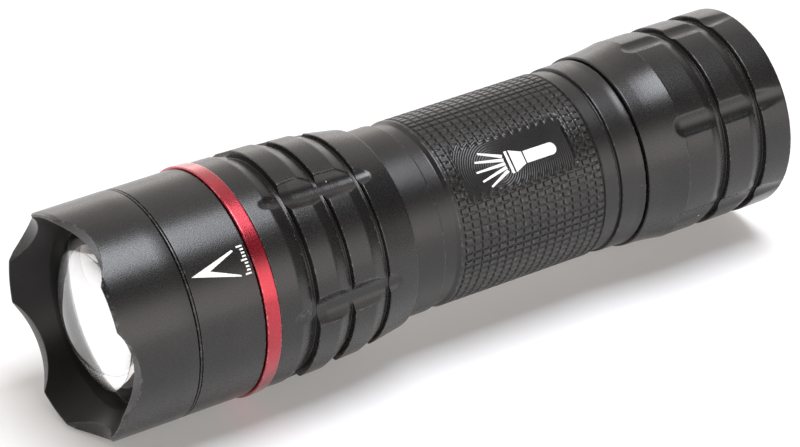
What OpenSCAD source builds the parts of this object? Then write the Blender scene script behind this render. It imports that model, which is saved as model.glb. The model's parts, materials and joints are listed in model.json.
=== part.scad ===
// Zoom flashlight: sliding focus head, knurled battery tube and clicky tail cap.
// Sizes are in millimetres. The flashlight lies on its side with its axis along X:
// the lens looks towards -X, the tail button towards +X, and +Z is up.
// A station is a distance along the axis, counted from the tips of the strike bezel.
// An angle of 0 points to -Y and 90 points up.

/* [What to draw] */
// Piece to draw, or all of them

/* [Head] */
// Length from the bezel tips to the tail face
overall_length = 116.5; // [110:0.1:125]
// Radius of the strike bezel
head_radius = 17; // [15:0.05:20]
// Radius of the smooth sleeve and of the collar's front band
sleeve_radius = 16.8; // [15:0.05:20]
// Largest radius of the red accent ring
accent_radius = 17.3; // [17.1:0.05:18]
// Station where the bezel meets the front sleeve
bezel_end = 11.6; // [9:0.1:14]
// Number of scallops in the strike bezel
scallop_count = 5; // [3:1:9]
// Depth of each scallop
scallop_depth = 2.35; // [1:0.05:4]
// Radius of the scallop cutter
scallop_radius = 11; // [6:0.5:16]
// Angle of the first scallop
scallop_angle = 2; // [0:1:360]
// Front station of the red accent ring
accent_front = 22.55; // [18:0.05:26]
// Rear station of the red accent ring
accent_rear = 24.9; // [20:0.05:28]
// Rear station of the ribbed collar
collar_end = 49.25; // [45:0.05:55]
// Number of milled flutes in the collar
flute_count = 6; // [3:1:12]
// Angle of the first flute
flute_angle = 4; // [0:1:360]

/* [Optics] */
// Radius of the lens at its rim
lens_radius = 12.98; // [10:0.01:14]
// Station of the front of the lens rim
lens_front = 6.5; // [4:0.1:9]
// Station of the flat back of the lens
lens_back = 8.6; // [6:0.1:12]
// Height of the lens dome in front of its rim
lens_dome = 4.2; // [2:0.1:7]
// Radius of the round board that carries the emitter
star_radius = 10; // [8:0.1:11]
// Side of the square emitter package
emitter_side = 5; // [3:0.1:7]

/* [Battery tube] */
// Radius of the smooth neck that the head slides on
neck_radius = 14.25; // [12:0.05:16]
// Radius of the battery room
bay_radius = 11.4; // [11:0.05:12.5]
// Front station of the knurling
knurl_front = 57.95; // [55:0.05:60]
// Rear station of the knurling
knurl_rear = 82.6; // [75:0.05:86]
// Number of knurled rings
knurl_rings = 17; // [8:1:24]
// Angle of the milled flat
flat_angle = 47.8; // [0:0.1:360]
// Distance from the axis to the milled flat
flat_height = 13.57; // [12.5:0.01:14.2]

/* [Battery pack] */
// Radius of one AAA cell
cell_radius = 5.15; // [5:0.05:5.3]
// Length of one AAA cell with its button
cell_length = 44.5; // [44:0.1:45]
// Distance from the axis to the middle of a cell
cell_offset = 6; // [5.9:0.01:6.2]
// Front station of the battery pack
pack_front = 34; // [30:0.1:38]
// Length of the battery pack
pack_length = 52; // [50:0.1:54]

/* [Tail] */
// Radius of the tail cap rings
tail_radius = 15.45; // [14:0.05:17]
// Front station of the tail cap
cap_front = 90.4; // [88:0.05:93]
// Number of slots milled along the tail cap
slot_count = 6; // [3:1:12]
// Angle of the first slot
slot_angle = 33.2; // [0:0.1:360]
// Radius of the slot cutter
slot_cutter = 1.6; // [1:0.05:2.5]
// Radius of the rubber button
button_radius = 7.5; // [5:0.1:9]
// Station of the top of the rubber button
button_top = 114.3; // [112:0.1:116]

/* [Movement] */
// How far the head slides forward
focus_travel = 8; // [4:0.5:10]
// How far the button goes in
press_travel = 1.6; // [0.8:0.1:2]
// How far the tail cap backs off while it unscrews
unscrew_travel = 9; // [6:0.5:12]

/* [Hidden] */
$fn = 96;
half_length = overall_length / 2;
axis_height = accent_radius;
slide_gap = 0.05;
collar_bore = neck_radius + slide_gap;
collar_shoulder = 29.1;
sleeve_bore = 14.75;
spigot_radius = 15.6;
thread_gap = 0.05;
bezel_thread = 15.35;
tube_front = 19;
tube_rear = 97.5;
thread_radius = 13.3;
pill_radius = 12.5;
star_front = 11.8;
pill_front = 13;
driver_front = 24.6;
driver_rear = 25.8;
pack_rear = pack_front + pack_length;
plate_thick = 1.8;
switch_board_front = 100.15;
switch_board_rear = 101.3;
button_floor = 108;
knurl_pitch = (knurl_rear - knurl_front) / knurl_rings;

// Turns a closed outline of [station, radius] points around the axis.
module turned(outline) {
  translate([-half_length, 0, axis_height])
    rotate([0, 90, 0])
      rotate_extrude()
        polygon([for (p = outline) [p[1], p[0]]]);
}

// Moves children to the axis, with the station as X.
module on_axis(station) {
  translate([station - half_length, 0, axis_height])
    children();
}

// A round bar along the axis, from one station to another.
module bar(front, rear, radius) {
  on_axis(front)
    rotate([0, 90, 0])
      cylinder(h = rear - front, r = radius);
}

// Turns children around the axis, so that their +Z points to the angle.
module facing(angle) {
  translate([0, 0, axis_height])
    rotate([90 - angle, 0, 0])
      children();
}

// A ball-ended cutter between two [station, radius] points above the axis.
module ball_cut(from, to, radius) {
  run = to[0] - from[0];
  rise = to[1] - from[1];
  translate([from[0] - half_length, 0, from[1]]) {
    sphere(r = radius);
    rotate([0, atan2(run, rise), 0])
      cylinder(h = norm([run, rise]), r = radius);
    translate([run, 0, rise])
      sphere(r = radius);
  }
}

// Middle of the wire of a coil, at turn t of a coil with the given turns.
function coil_middle(t, turns, front, rear, first, last) =
  let (part = t / turns, radius = first + (last - first) * part)
  [front + (rear - front) * part, radius * cos(360 * t), radius * sin(360 * t)];

// Eight points round the wire at turn t.
function coil_ring(t, turns, front, rear, first, last, wire) =
  let (middle = coil_middle(t, turns, front, rear, first, last))
  [for (k = [0:7])
    let (reach = wire * cos(45 * k), lift = wire * sin(45 * k))
    [middle[0] + lift, middle[1] + reach * cos(360 * t), middle[2] + reach * sin(360 * t)]];

// A wire coil round the local X axis, with its ends cut square.
module coil(turns, front, rear, first, last, wire, steps) {
  rings = round(turns * steps);
  points = [for (i = [0:rings])
    each coil_ring(i / steps, turns, front, rear, first, last, wire)];
  sides = [for (i = [0:rings - 1]) for (k = [0:7])
    [i * 8 + k, i * 8 + (k + 1) % 8, (i + 1) * 8 + (k + 1) % 8, (i + 1) * 8 + k]];
  front_end = [[7, 6, 5, 4, 3, 2, 1, 0]];
  rear_end = [[for (k = [0:7]) rings * 8 + k]];
  polyhedron(points = points, faces = concat(sides, front_end, rear_end));
}

// Scalloped bezel with a bevelled bore, a lens seat and a threaded spigot.
module strike_bezel() {
  color([0.13, 0.13, 0.14])
    difference() {
      turned([
        [0, 16.45], [0, 16.75], [0.75, head_radius], [bezel_end, head_radius],
        [bezel_end, bezel_thread], [16.2, bezel_thread], [16.5, 15.05], [16.5, 14.1],
        [8.65, 14.1], [8.65, 13.55], [6.2, 13.55], [6.2, 12.75], [4.75, 13.27]
      ]);
      for (k = [0:scallop_count - 1])
        facing(scallop_angle + k * 360 / scallop_count)
          translate([scallop_depth - scallop_radius - half_length, 0, 8])
            cylinder(h = 14, r = scallop_radius);
    }
}

// Rubber ring of L section round the front edge of the lens.
module lens_gasket() {
  color([0.05, 0.05, 0.05])
    turned([
      [6.22, 12.78], [6.22, 13.5], [lens_back, 13.5], [lens_back, lens_radius + 0.02],
      [lens_front - 0.02, lens_radius + 0.02], [lens_front - 0.02, 12.78]
    ]);
}

// Thick lens with a domed front, a cylindrical rim and a flat back.
module lens() {
  dome_foot = 12.4;
  dome_radius = (dome_foot * dome_foot + lens_dome * lens_dome) / (2 * lens_dome);
  color([0.8, 0.87, 0.9, 0.4])
    union() {
      bar(lens_front, lens_back, lens_radius);
      intersection() {
        on_axis(lens_front - lens_dome + dome_radius)
          sphere(r = dome_radius);
        bar(lens_front - lens_dome - 1, lens_front + 0.5, dome_foot);
      }
    }
}

// Threaded ring that holds the lens from behind, with two spanner notches.
module lens_retainer() {
  color([0.16, 0.16, 0.17])
    difference() {
      turned([
        [8.68, 12.2], [8.68, 14.05], [10.4, 14.05], [10.4, 12.6], [10, 12.2]
      ]);
      for (side = [0, 180])
        facing(side)
          translate([9.5 - half_length, -1, 11])
            cube([2, 2, 4]);
    }
}

// Smooth sleeve behind the bezel, with the spigot that carries the accent ring.
module head_sleeve() {
  color([0.13, 0.13, 0.14])
    turned([
      [11.75, bezel_thread + thread_gap], [11.75, sleeve_radius - 0.1], [11.85, sleeve_radius],
      [12.05, sleeve_radius], [12.1, 16.65], [12.2, 16.65], [12.25, sleeve_radius],
      [accent_front - 0.1, sleeve_radius],
      [accent_front - 0.1, spigot_radius], [29, spigot_radius], [29, sleeve_bore],
      [16.8, sleeve_bore], [16.8, bezel_thread + thread_gap]
    ]);
}

// Red ring clamped between the sleeve and the collar.
module accent_ring() {
  color([0.75, 0.05, 0.12])
    turned([
      [accent_front, spigot_radius + 0.05], [accent_front, accent_radius - 0.12],
      [accent_front + 0.12, accent_radius], [accent_rear - 0.12, accent_radius - 0.08],
      [accent_rear, accent_radius - 0.2], [accent_rear, spigot_radius + 0.05]
    ]);
}

// Stepped collar with undercut ribs and milled flutes; its bore slides on the neck.
module ribbed_collar() {
  color([0.13, 0.13, 0.14])
    difference() {
      turned([
        [25, spigot_radius + thread_gap], [25, sleeve_radius],
        [28.55, sleeve_radius], [30.45, 16.35], [30.5, 15.95], [31.4, 15.95],
        [31.4, 17.05], [31.5, 17.12], [34.9, 17.02], [36.75, 16.3], [36.8, 15.7], [37.6, 15.7],
        [37.6, 16.6], [37.7, 16.68], [41.25, 16.5], [43.05, 15.8], [43.1, 15.25], [43.9, 15.25],
        [43.9, 15.98], [44, 16.05], [49.05, 15.2], [collar_end, 15.05],
        [collar_end, collar_bore + 0.25], [collar_end - 0.25, collar_bore],
        [collar_shoulder, collar_bore], [collar_shoulder, spigot_radius + thread_gap]
      ]);
      for (k = [0:flute_count - 1])
        facing(flute_angle + k * 360 / flute_count)
          ball_cut([28.8, 18.3], [45.4, 17.2], 1.9);
    }
}

// Battery tube: plain neck, knurled grip with a milled flat, and a threaded tail.
module body_tube() {
  knurl = [for (k = [0:knurl_rings - 1])
    let (start = knurl_front + k * knurl_pitch)
    each [[start, 14], [start + 0.12, 14], [start + 0.28, neck_radius],
      [start + knurl_pitch - 0.1, neck_radius]]];
  color([0.13, 0.13, 0.14])
    difference() {
      turned(concat(
        [[tube_front, pill_radius + thread_gap], [tube_front, 13.95], [19.3, neck_radius],
          [20.15, neck_radius], [20.15, 13.65], [21.05, 13.65], [21.05, neck_radius],
          [33.85, neck_radius], [33.85, 13.35], [35.15, 13.35], [35.15, neck_radius],
          [38.35, neck_radius], [38.35, 13.35], [39.65, 13.35], [39.65, neck_radius],
          [54.45, neck_radius], [54.55, 13.8], [56.75, 13.8], [57.35, neck_radius]],
        knurl,
        [[knurl_rear, 14], [85.45, 14], [85.5, 13.85], [85.8, 13.85], [85.85, 14.28],
          [85.95, 14.35], [88.95, 14.35], [89.8, 14.66], [90, 14.66], [90.1, 14.55],
          [90.1, thread_radius], [90.9, thread_radius], [90.9, 12.35], [92.3, 12.35],
          [92.3, thread_radius], [97.1, thread_radius], [tube_rear, 12.9],
          [tube_rear, bay_radius + 0.3], [97.2, bay_radius], [26.5, bay_radius],
          [26.5, pill_radius + thread_gap]]
      ));
      facing(flat_angle)
        translate([69.65 - half_length, 0, flat_height])
          linear_extrude(height = 4) {
            square([19.1, 6.2], center = true);
            square([16.3, 9.6], center = true);
            for (x = [-8.15, 8.15])
              for (y = [-2.9, 2.9])
                translate([x, y])
                  circle(r = 1.4);
          }
    }
}

// Two rubber rings that drag in the bore of the collar.
module focus_o_rings() {
  color([0.04, 0.04, 0.04])
    for (middle = [34.5, 39])
      on_axis(middle)
        rotate([0, 90, 0])
          rotate_extrude()
            translate([13.82, 0])
              circle(r = 0.45);
}

// Split ring on the neck that stops the head at full travel.
module stop_circlip() {
  color([0.6, 0.61, 0.62])
    difference() {
      turned([[20.2, 13.68], [20.2, 14.65], [21, 14.65], [21, 13.68]]);
      facing(90)
        translate([19 - half_length, -1.5, 10])
          cube([3, 3, 8]);
    }
}

// Rubber ring that seals the tail thread.
module seal_o_ring() {
  color([0.04, 0.04, 0.04])
    on_axis(91.6)
      rotate([0, 90, 0])
        rotate_extrude()
          translate([12.86, 0])
            circle(r = 0.5);
}

// Solid heat-sink plug screwed into the neck, with a pocket for the driver.
module led_pill() {
  color([0.72, 0.72, 0.74])
    difference() {
      turned([
        [pill_front, 0], [pill_front, 10.8], [pill_front + 0.2, 11], [17.8, 11], [17.8, 13.2],
        [18, 13.4], [18.9, 13.4], [18.9, pill_radius], [26, pill_radius], [26.3, 12.2],
        [26.3, 10.2], [20, 10.2], [20, 0]
      ]);
      for (side = [90, 270])
        facing(side)
          translate([12 - half_length, 0, 5.5])
            rotate([0, 90, 0])
              cylinder(h = 9, r = 0.9);
      for (side = [0, 180])
        facing(side)
          translate([12 - half_length, 0, 8.9])
            rotate([0, 90, 0])
              cylinder(h = 4.2, r = 1.03);
    }
}

// Round aluminium board with six edge notches and two wire holes.
module star_board() {
  color([0.93, 0.93, 0.9])
    difference() {
      bar(star_front, pill_front, star_radius);
      for (k = [0:5])
        facing(k * 60)
          translate([star_front - 1 - half_length, 0, 9.2])
            rotate([0, 90, 0])
              cylinder(h = 4, r = 1.6);
      for (side = [90, 270])
        facing(side)
          translate([star_front - 1 - half_length, 0, 5.5])
            rotate([0, 90, 0])
              cylinder(h = 4, r = 0.9);
    }
}

// Two pan-head screws in opposite notches of the board.
module star_screws() {
  color([0.75, 0.75, 0.76])
    for (side = [0, 180])
      facing(side)
        translate([-half_length, 0, 8.9])
          difference() {
            rotate([0, 90, 0])
              rotate_extrude()
                polygon([[0, 10.6], [1.5, 10.6], [1.9, 10.95], [1.9, 11.78], [1, 11.78], [1, 15.6], [0, 15.9]]);
            translate([10.3, -0.2, -2.2])
              cube([0.8, 0.4, 4.4]);
            translate([10.3, -2.2, -0.2])
              cube([0.8, 4.4, 0.4]);
          }
}

// Square ceramic emitter with a silicone dome.
module led_emitter() {
  color([0.93, 0.85, 0.35])
    union() {
      on_axis(star_front - 0.9)
        translate([0, -emitter_side / 2, -emitter_side / 2])
          cube([0.9, emitter_side, emitter_side]);
      intersection() {
        on_axis(star_front - 0.9)
          sphere(r = 1.7);
        bar(8, star_front - 0.8, 2);
      }
    }
}

// Two wires from the driver through the pill to the board.
module led_leads() {
  color([0.7, 0.1, 0.1])
    for (side = [90, 270])
      facing(side)
        translate([11.4 - half_length, 0, 5.5]) {
          rotate([0, 90, 0])
            cylinder(h = driver_front - 11.4, r = 0.55);
          sphere(r = 0.55);
        }
}

// Driver board with its parts, soldered into the back of the pill.
module driver_board() {
  color([0.05, 0.3, 0.14])
    union() {
      bar(driver_front, driver_rear, 10.1);
      on_axis(driver_front - 2.4)
        translate([0, -8.2, -2.2])
          cube([2.4, 4.6, 4.6]);
      on_axis(driver_front - 1.1)
        translate([0, 2.6, -2])
          cube([1.1, 4, 4]);
      on_axis(driver_front - 0.8)
        translate([0, -1.2, -1])
          cube([0.8, 2.4, 2]);
    }
}

// Coned spring between the driver board and the battery pack.
module driver_spring() {
  color([0.85, 0.75, 0.5])
    on_axis(0)
      coil(5, driver_rear + 0.3, pack_front - 0.65, 4.2, 2.6, 0.3, 20);
}

// Plastic frame with two end plates and three ribs between the cells.
module battery_frame() {
  color([0.1, 0.1, 0.11])
    difference() {
      union() {
        bar(pack_front, pack_front + plate_thick, 11.1);
        bar(pack_rear - plate_thick, pack_rear, 11.1);
        bar(pack_front, pack_rear, 0.75);
        for (k = [0:2])
          facing(150 + k * 120)
            translate([pack_front - half_length, -1.35, 7.9])
              cube([pack_length, 2.7, 2.6]);
      }
      for (k = [0:2])
        facing(90 + k * 120)
          translate([pack_front + plate_thick - half_length, 0, cell_offset])
            rotate([0, 90, 0])
              cylinder(h = pack_length - 2 * plate_thick, r = cell_radius + 0.05);
      bar(pack_front - 1, pack_front + 0.3, 3.55);
      bar(pack_rear - 0.3, pack_rear + 1, 5.05);
    }
}

// Raised brass pad that the driver spring presses on.
module front_contact() {
  color([0.8, 0.65, 0.3])
    turned([
      [pack_front - 0.3, 0], [pack_front - 0.3, 3.3], [pack_front - 0.1, 3.5],
      [pack_front + 0.29, 3.5], [pack_front + 0.29, 0]
    ]);
}

// Flat nickel pad that the tail spring presses on.
module rear_contact() {
  color([0.75, 0.75, 0.74])
    turned([
      [pack_rear - 0.29, 0], [pack_rear - 0.29, 5], [pack_rear + 0.06, 5],
      [pack_rear + 0.1, 4.9], [pack_rear + 0.1, 0]
    ]);
}

// Nickel strips on the inner faces of the end plates, one at each cell end.
module contact_straps() {
  color([0.78, 0.78, 0.77])
    for (k = [0:2])
      facing(90 + k * 120) {
        translate([pack_front + plate_thick + 0.02 - half_length, 0, cell_offset])
          rotate([0, 90, 0])
            cylinder(h = 0.3, r = 3.4);
        translate([pack_rear - plate_thick - 0.32 - half_length, 0, cell_offset])
          rotate([0, 90, 0])
            cylinder(h = 0.3, r = 3.4);
      }
}

// One coned spring at the flat end of each cell.
module cell_springs() {
  gap = pack_length - 2 * plate_thick - 0.7 - cell_length;
  color([0.75, 0.75, 0.74])
    for (k = [0:2])
      facing(90 + k * 120)
        translate([(k == 1 ? pack_rear - plate_thick - 0.36 - gap : pack_front + plate_thick + 0.36) - half_length,
          0, cell_offset])
          if (k == 1)
            coil(3, 0.3, gap - 0.35, 2, 3.2, 0.26, 14);
          else
            coil(3, 0.35, gap - 0.3, 3.2, 2, 0.26, 14);
}

// Three cells in a triangle, the middle one reversed for the series circuit.
module aaa_cells() {
  low = pack_front + plate_thick + 0.36;
  high = pack_rear - plate_thick - 0.36;
  color([0.2, 0.25, 0.35])
    for (k = [0:2])
      facing(90 + k * 120)
        translate([(k == 1 ? low + cell_length : high - cell_length) - half_length, 0, cell_offset])
          rotate([0, k == 1 ? -90 : 90, 0])
            rotate_extrude()
              polygon([
                [0, 0], [cell_radius - 0.4, 0], [cell_radius, 0.4],
                [cell_radius, cell_length - 1.7], [cell_radius - 0.45, cell_length - 1.1],
                [1.9, cell_length - 1.1], [1.9, cell_length - 0.15],
                [1.75, cell_length], [0, cell_length]
              ]);
}

// Tail cap with a flared front, three undercut rings, slots and the button hole.
module tail_cap() {
  color([0.13, 0.13, 0.14])
    difference() {
      turned([
        [cap_front, 13.65], [cap_front, 14.72], [cap_front + 0.12, 14.84], [91.6, 14.87],
        [92.7, 14.91], [93.8, 15], [94.9, 15.12], [95.9, 15.25], [96.7, 15.37],
        [97.35, 15.48], [97.45, tail_radius], [102.35, tail_radius],
        [103.75, 14.98], [103.8, 14.6], [104.8, 14.6], [104.8, 15.42],
        [104.9, tail_radius + 0.05], [109.25, tail_radius + 0.03], [110.6, 15.05],
        [110.65, 14.65], [111.6, 14.65], [111.6, 15.45], [111.7, tail_radius + 0.08],
        [116.25, tail_radius + 0.03], [overall_length, tail_radius - 0.22],
        [overall_length, 11.2], [113.6, 7.9], [110, 7.9], [110, 12.2], [98, 12.2],
        [98, thread_radius + 0.1], [90.7, thread_radius + 0.1]
      ]);
      for (k = [0:slot_count - 1])
        facing(slot_angle + k * 360 / slot_count)
          ball_cut([97.6, 16.15], [119, 16.15], slot_cutter);
    }
}

// Threaded ring that locks the switch in the cap, with two pin holes.
module switch_ring() {
  color([0.6, 0.6, 0.62])
    difference() {
      turned([
        [98.2, 8.3], [98.2, 11.95], [98.4, 12.15], [100.1, 12.15], [100.1, 8], [98.5, 8]
      ]);
      for (side = [0, 180])
        facing(side)
          translate([97.5 - half_length, 0, 10.1])
            rotate([0, 90, 0])
              cylinder(h = 4, r = 0.8);
    }
}

// Round board between the tail spring and the switch.
module switch_board() {
  color([0.05, 0.3, 0.14])
    bar(switch_board_front, switch_board_rear, 12.05);
}

// Coned spring from the switch board to the battery pack.
module tail_spring() {
  color([0.85, 0.75, 0.5])
    on_axis(0)
      coil(6, pack_rear + 0.45, switch_board_front - 0.35, 3.4, 6.6, 0.35, 18);
}

// Plastic cup that seats the switch and gives the button room to move.
module switch_housing() {
  color([0.08, 0.08, 0.09])
    turned([
      [switch_board_rear + 0.05, 5.6], [switch_board_rear + 0.05, 12.1], [109.9, 12.1],
      [109.9, 9.1], [104.6, 9.1], [104.6, 5.6]
    ]);
}

// Clicky switch with a bore for its plunger.
module switch_core() {
  color([0.85, 0.83, 0.76])
    turned([
      [switch_board_rear + 0.05, 0], [switch_board_rear + 0.05, 5.5], [105.9, 5.5],
      [106.1, 5.3], [106.1, 2.05], [103.2, 2.05], [103.2, 0]
    ]);
}

// Plunger that carries the push of the button into the switch.
module plunger() {
  color([0.9, 0.9, 0.88])
    bar(105.1, button_floor - 0.02, 2);
}

// Rubber button with a retaining lip, set below the tail face.
module button_boot() {
  color([0.06, 0.06, 0.06])
    turned([
      [button_floor, 0], [button_floor, 8.6], [109.4, 8.6], [109.4, button_radius],
      [button_top - 1, button_radius], [button_top - 0.65, button_radius - 0.1],
      [button_top - 0.35, button_radius - 0.35], [button_top - 0.15, button_radius - 0.75],
      [button_top, button_radius - 1.6], [button_top + 0.08, 3.5], [button_top + 0.1, 0]
    ]);
}

strike_bezel();
lens_gasket();
lens();
lens_retainer();
head_sleeve();
accent_ring();
ribbed_collar();
body_tube();
focus_o_rings();
stop_circlip();
seal_o_ring();
led_pill();
star_board();
star_screws();
led_emitter();
led_leads();
driver_board();
driver_spring();
battery_frame();
front_contact();
rear_contact();
contact_straps();
cell_springs();
aaa_cells();
tail_cap();
switch_ring();
switch_board();
tail_spring();
switch_housing();
switch_core();
plunger();
button_boot();
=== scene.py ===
# Zoom flashlight lying on its side. Metres; the axis runs along x and the lens looks towards -x.
# Pieces are drawn in millimetres as [station, radius]: a station counts from the tips of the bezel.
import json
import math

import bpy
import numpy as np
from mathutils import Matrix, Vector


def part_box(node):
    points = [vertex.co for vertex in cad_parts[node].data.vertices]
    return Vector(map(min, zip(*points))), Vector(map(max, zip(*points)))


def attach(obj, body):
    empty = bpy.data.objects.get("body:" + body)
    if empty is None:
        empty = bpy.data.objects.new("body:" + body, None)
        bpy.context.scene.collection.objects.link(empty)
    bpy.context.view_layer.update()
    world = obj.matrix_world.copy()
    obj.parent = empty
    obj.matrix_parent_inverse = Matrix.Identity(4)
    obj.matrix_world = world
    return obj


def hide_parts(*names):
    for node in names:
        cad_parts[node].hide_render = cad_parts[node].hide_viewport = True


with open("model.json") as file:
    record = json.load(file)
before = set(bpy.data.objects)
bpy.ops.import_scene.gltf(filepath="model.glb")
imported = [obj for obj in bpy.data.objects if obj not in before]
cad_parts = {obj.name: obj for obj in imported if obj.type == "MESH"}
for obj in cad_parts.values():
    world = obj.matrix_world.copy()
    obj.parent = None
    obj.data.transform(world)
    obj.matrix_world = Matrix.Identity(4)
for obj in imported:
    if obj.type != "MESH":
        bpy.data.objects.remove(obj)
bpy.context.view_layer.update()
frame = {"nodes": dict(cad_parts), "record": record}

scene = bpy.context.scene
mm = 0.001
tiny = 1e-6
farAway = 99  # a radius no cutter leaves, in mm
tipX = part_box("strike_bezel")[0].x
axisZ = (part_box("accent_ring")[0].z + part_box("accent_ring")[1].z) / 2
totalLength = (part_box("tail_cap")[1].x - tipX) / mm
print("frame: length %.1f mm, axis %.1f mm above the floor" % (totalLength, axisZ / mm))


# Mesh helpers

def softColumns(corner, trim, turns):
    # Each corner of a closed outline becomes a short parabola that starts and ends `trim` mm away from it.
    # The array has the shape corners x columns x 2, so every column can have its own outline.
    back, ahead = np.roll(corner, 1, axis=0) - corner, np.roll(corner, -1, axis=0) - corner
    backLength = np.maximum(np.linalg.norm(back, axis=-1, keepdims=True), 1e-9)
    aheadLength = np.maximum(np.linalg.norm(ahead, axis=-1, keepdims=True), 1e-9)
    trim = np.asarray(trim, float)[:, None, None]
    start = corner + back / backLength * np.minimum(trim, 0.45 * backLength)
    stop = corner + ahead / aheadLength * np.minimum(trim, 0.45 * aheadLength)
    t = np.linspace(0, 1, turns)[None, :, None, None]
    curve = (1 - t) ** 2 * start[:, None] + 2 * t * (1 - t) * corner[:, None] + t ** 2 * stop[:, None]
    return curve.reshape(-1, corner.shape[1], 2)


def softOutline(corners, edge=0.1, turns=4):
    # softColumns for one outline; a third number on a corner is its own trim, and 0 keeps it sharp.
    point = np.array([corner[:2] for corner in corners], float)
    trim = [corner[2] if len(corner) > 2 else edge for corner in corners]
    line = softColumns(point[:, None], trim, turns)[:, 0]
    step = line - np.roll(line, 1, axis=0)
    return line[np.hypot(step[:, 0], step[:, 1]) > tiny]


def addRows(outline, step, span=(-1e9, 1e9), closed=True):
    # Cuts every side inside the span of stations into equal pieces no longer than step.
    following = np.roll(outline, -1, axis=0)
    gap = np.hypot(*(following - outline).T)
    low = np.minimum(outline[:, 0], following[:, 0])
    high = np.maximum(outline[:, 0], following[:, 0])
    inside = (low >= span[0] - tiny) & (high <= span[1] + tiny)
    count = np.where(inside, np.maximum(np.ceil(gap / step), 1), 1).astype(int)
    if not closed:
        count[-1] = 1
    index = np.repeat(np.arange(len(outline)), count)
    first = np.cumsum(count) - count
    share = (np.arange(count.sum()) - np.repeat(first, count)) / np.repeat(count, count)
    return outline[index] + (following[index] - outline[index]) * share[:, None]


def holdRows(outline, gap=0.12, longer=0.4):
    # Adds a row `gap` mm inside both ends of every side over `longer` mm, so shading stays flat between.
    following = np.roll(outline, -1, axis=0)
    side = following - outline
    length = np.hypot(*side.T)
    share = (gap / np.maximum(length, 1e-9))[:, None]
    rows = np.stack([outline, outline + side * share, following - side * share], axis=1)
    keep = np.repeat((length > longer)[:, None], 3, axis=1)
    keep[:, 0] = True
    return rows[keep]


def evenAngles(count):
    return np.arange(count) * 2 * math.pi / count


def clusteredAngles(first, repeats, half, inside, outside):
    # Columns crowd within `half` degrees of each repeat and are wider apart between them.
    pitch = 360 / repeats
    near = np.linspace(-half, half, inside)
    far = np.linspace(half, pitch - half, outside + 2)[1:-1]
    pattern = np.concatenate([near, far])
    return np.radians((first + pitch * np.arange(repeats)[:, None] + pattern[None, :]).ravel())


def nearestOffset(angle, first, repeats):
    # Signed angle to the nearest of `repeats` directions, the first one at `first` degrees.
    pitch = 2 * math.pi / repeats
    return (angle - math.radians(first) + pitch / 2) % pitch - pitch / 2


def softMin(a, b, width):
    # The smaller of two surfaces, with their meeting edge rounded over `width` mm.
    overlap = np.clip(width - np.abs(a - b), 0, None) / width
    return np.minimum(a, b) - overlap * overlap * width / 4


def onCircle(station, radius, angle):
    # Point of a ring: x = tip + station, y = -radius cos(angle), z = axis + radius sin(angle).
    station, radius, angle = np.broadcast_arrays(station, radius, angle)
    points = np.stack([station, -radius * np.cos(angle), radius * np.sin(angle)], axis=-1) * mm
    return points + np.array([tipX, 0, axisZ])


def bandFaces(first, rows, columns, closed):
    # Quads between neighbouring rings; with closed, the last ring joins the first.
    i = np.arange(rows if closed else rows - 1)[:, None]
    j = np.arange(columns)[None, :]
    following, right = (i + 1) % rows, (j + 1) % columns
    quads = [i * columns + j, i * columns + right, following * columns + right, following * columns + j]
    return first + np.stack(np.broadcast_arrays(*quads), axis=-1).reshape(-1, 4)


def readValues(items, name, width=1, kind=float):
    # One property of all of a mesh's corners or faces, as rows of `width` numbers.
    values = np.zeros(len(items) * width, kind)
    items.foreach_get(name, values)
    return values.reshape(-1, width)


def meshObject(name, points, faces, marks=None, sharp=40):
    # A smooth-shaded object with edges sharper than `sharp` degrees kept crisp. If the signed volume of
    # its faces is negative, they look inwards and are turned round. Marks are values on its points.
    mesh = bpy.data.meshes.new(name)
    lists = [face.tolist() for face in faces if len(face)]
    mesh.from_pydata(points.reshape(-1, 3).tolist(), [], [face for group in lists for face in group])
    mesh.update()
    corner = readValues(mesh.loops, "vertex_index", 1, np.int32)[:, 0]
    starts = readValues(mesh.polygons, "loop_start", 1, np.int32)[:, 0]
    place = points.reshape(-1, 3)
    a, b, c = (place[corner[starts + k]] for k in range(3))
    area = np.cross(b - a, c - a)
    if np.einsum("ij,ij->", a - place.mean(axis=0), area) < 0:
        mesh.flip_normals()
    mesh.polygons.foreach_set("use_smooth", np.ones(len(mesh.polygons), bool))
    mesh.set_sharp_from_angle(angle=math.radians(sharp))
    for mark, values in (marks or {}).items():
        layer = mesh.attributes.new(mark, "FLOAT", "POINT")
        layer.data.foreach_set("value", np.asarray(values, np.float32).ravel())
    piece = bpy.data.objects.new(name, mesh)
    scene.collection.objects.link(piece)
    return piece


def ringPiece(name, station, radius, angle, marks=None, sharp=40):
    # A wall of revolution whose outline is a closed loop clear of the axis.
    points = onCircle(station, radius, angle)
    rows, columns = points.shape[:2]
    return meshObject(name, points, [bandFaces(0, rows, columns, True)], marks, sharp)


def polePiece(name, outline, angle, sharp=40):
    # A solid of revolution whose outline starts and ends on the axis, closed with a fan at each pole.
    inner = outline[1:-1]
    rings = onCircle(inner[:, :1], inner[:, 1:], angle[None, :])
    poles = onCircle(outline[[0, -1], 0], np.zeros(2), np.zeros(2))
    rows, columns = rings.shape[:2]
    j = np.arange(columns)
    right = (j + 1) % columns
    last = (rows - 1) * columns
    start = np.stack([np.full(columns, rows * columns), right, j], axis=-1)
    stop = np.stack([np.full(columns, rows * columns + 1), last + j, last + right], axis=-1)
    points = np.concatenate([rings.reshape(-1, 3), poles])
    return meshObject(name, points, [bandFaces(0, rows, columns, False), start, stop], None, sharp)


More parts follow.
